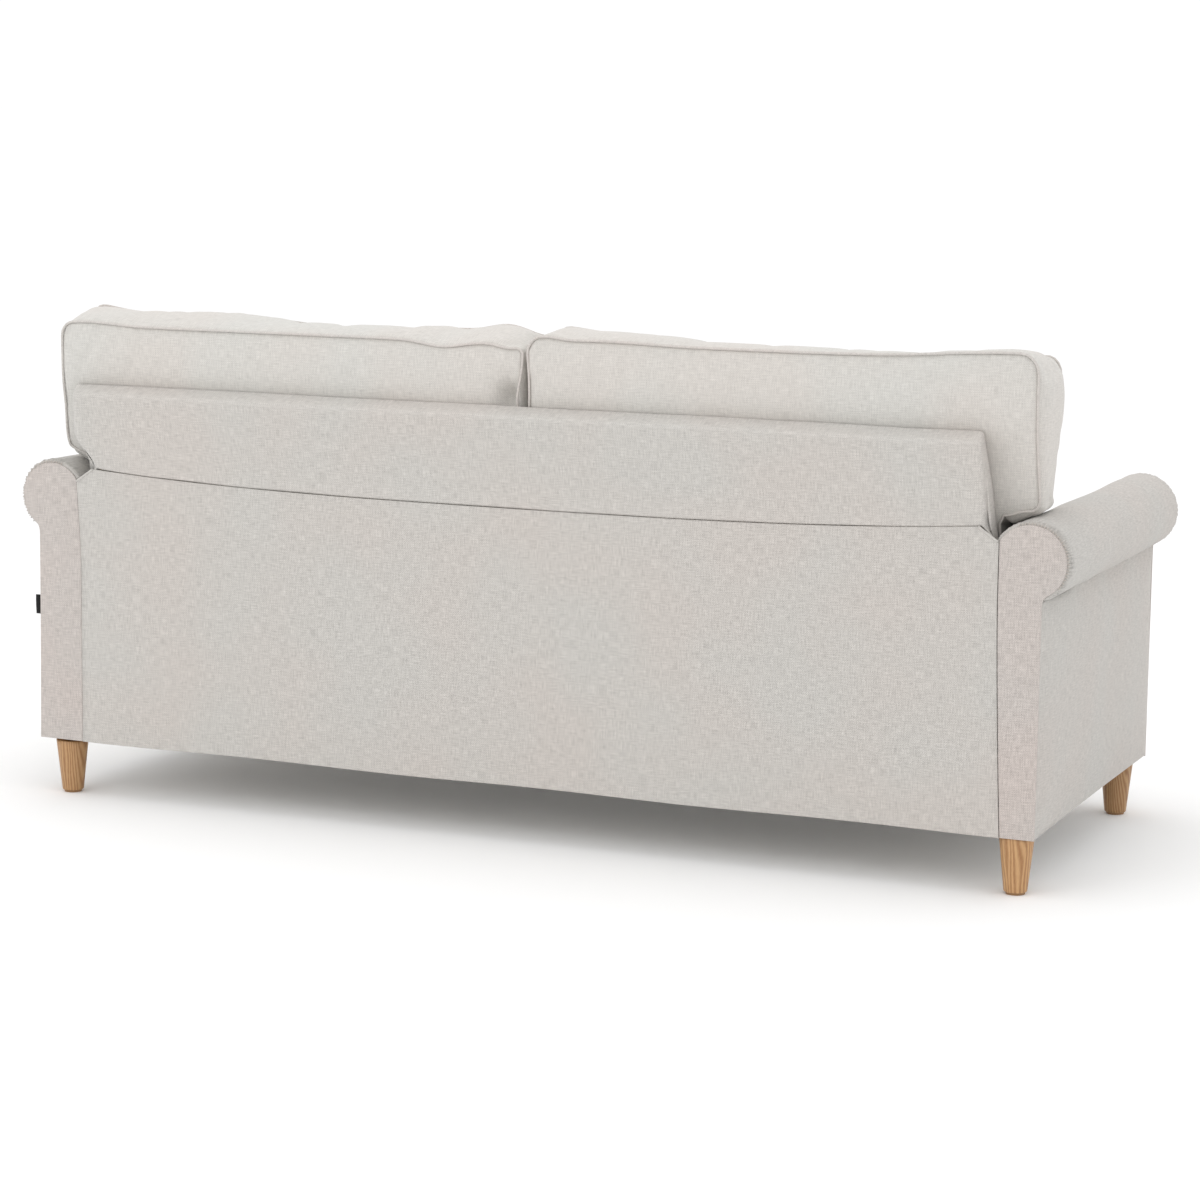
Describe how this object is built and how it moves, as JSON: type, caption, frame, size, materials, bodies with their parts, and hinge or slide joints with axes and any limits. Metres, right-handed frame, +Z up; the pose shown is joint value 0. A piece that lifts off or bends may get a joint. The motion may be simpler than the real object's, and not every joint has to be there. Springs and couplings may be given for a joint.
{
  "type": "sofa",
  "caption": "Upholstered sofa with rolled arms, loose eared back cushions, loose seat cushions and turned tapered wooden legs.",
  "frame": {"origin": "on the floor under the middle of the sofa's outline", "axes": "+Z up, the seat faces -Y, +X is the sitter's left"},
  "size_m": [2, 0.8, 0.895],
  "materials": {
    "linen": "woven off-white linen-look cloth with fine slubs",
    "oak": "turned oak, satin oil",
    "frame_timber": "sawn softwood",
    "plywood": "unfinished plywood",
    "bolt_steel": "zinc plated",
    "spring_steel": "drawn wire",
    "webbing": "elastic webbing",
    "dust_cloth": "thin pale non-woven cloth",
    "label_cloth": "plain woven tape",
    "glide_plastic": "moulded"
  },
  "bodies": {
    "frame": {"leg_front_left": "oak", "leg_bolt_front_left": "bolt_steel", "leg_glide_front_left": "glide_plastic", "leg_block_front_left": "frame_timber", "leg_front_right": "oak", "leg_bolt_front_right": "bolt_steel", "leg_glide_front_right": "glide_plastic", "leg_block_front_right": "frame_timber", "leg_rear_left": "oak", "leg_bolt_rear_left": "bolt_steel", "leg_glide_rear_left": "glide_plastic", "leg_block_rear_left": "frame_timber", "leg_rear_right": "oak", "leg_bolt_rear_right": "bolt_steel", "leg_glide_rear_right": "glide_plastic", "leg_block_rear_right": "frame_timber", "seat_rail_front": "frame_timber", "seat_rail_rear": "frame_timber", "seat_rail_left": "frame_timber", "seat_rail_right": "frame_timber", "seat_stretcher": "frame_timber", "arm_top_rail_left": "frame_timber", "arm_top_rail_right": "frame_timber", "back_post_left": "frame_timber", "back_post_centre": "frame_timber", "back_post_right": "frame_timber", "back_top_rail": "frame_timber", "back_tack_rail_left": "frame_timber", "back_tack_rail_right": "frame_timber", "scroll_board_front_left": "plywood", "scroll_board_front_right": "plywood", "scroll_board_rear_left": "plywood", "scroll_board_rear_right": "plywood", "back_webbing_1": "webbing", "back_webbing_2": "webbing", "seat_spring_1": "spring_steel", "seat_spring_2": "spring_steel", "seat_spring_3": "spring_steel", "seat_spring_4": "spring_steel", "seat_spring_5": "spring_steel", "seat_spring_6": "spring_steel", "dust_cover": "dust_cloth", "blank_label": "label_cloth", "seat_deck": "linen", "front_apron": "linen", "back_panel_lower": "linen", "back_cover_upper": "linen", "arm_pad_left": "linen", "arm_side_panel_left": "linen", "arm_front_facing_left": "linen", "arm_rear_facing_left": "linen", "arm_pad_right": "linen", "arm_side_panel_right": "linen", "arm_front_facing_right": "linen", "arm_rear_facing_right": "linen"},
    "seat_cushion_left": {"seat_cushion_left": "linen"},
    "seat_cushion_right": {"seat_cushion_right": "linen"},
    "back_cushion_left": {"back_cushion_left": "linen"},
    "back_cushion_right": {"back_cushion_right": "linen"}
  },
  "joints": [
    {"name": "seat_cushion_left_pull_out", "type": "slide", "parent": "frame", "child": "seat_cushion_left", "axis": [0, -1, 0], "range_m": [0, 0.64]},
    {"name": "back_cushion_left_lift", "type": "slide", "parent": "frame", "child": "back_cushion_left", "axis": [0, 0, 1], "range_m": [0, 0.35]},
    {"name": "seat_cushion_right_pull_out", "type": "slide", "parent": "frame", "child": "seat_cushion_right", "axis": [0, -1, 0], "range_m": [0, 0.64]},
    {"name": "back_cushion_right_lift", "type": "slide", "parent": "frame", "child": "back_cushion_right", "axis": [0, 0, 1], "range_m": [0, 0.35]}
  ]
}
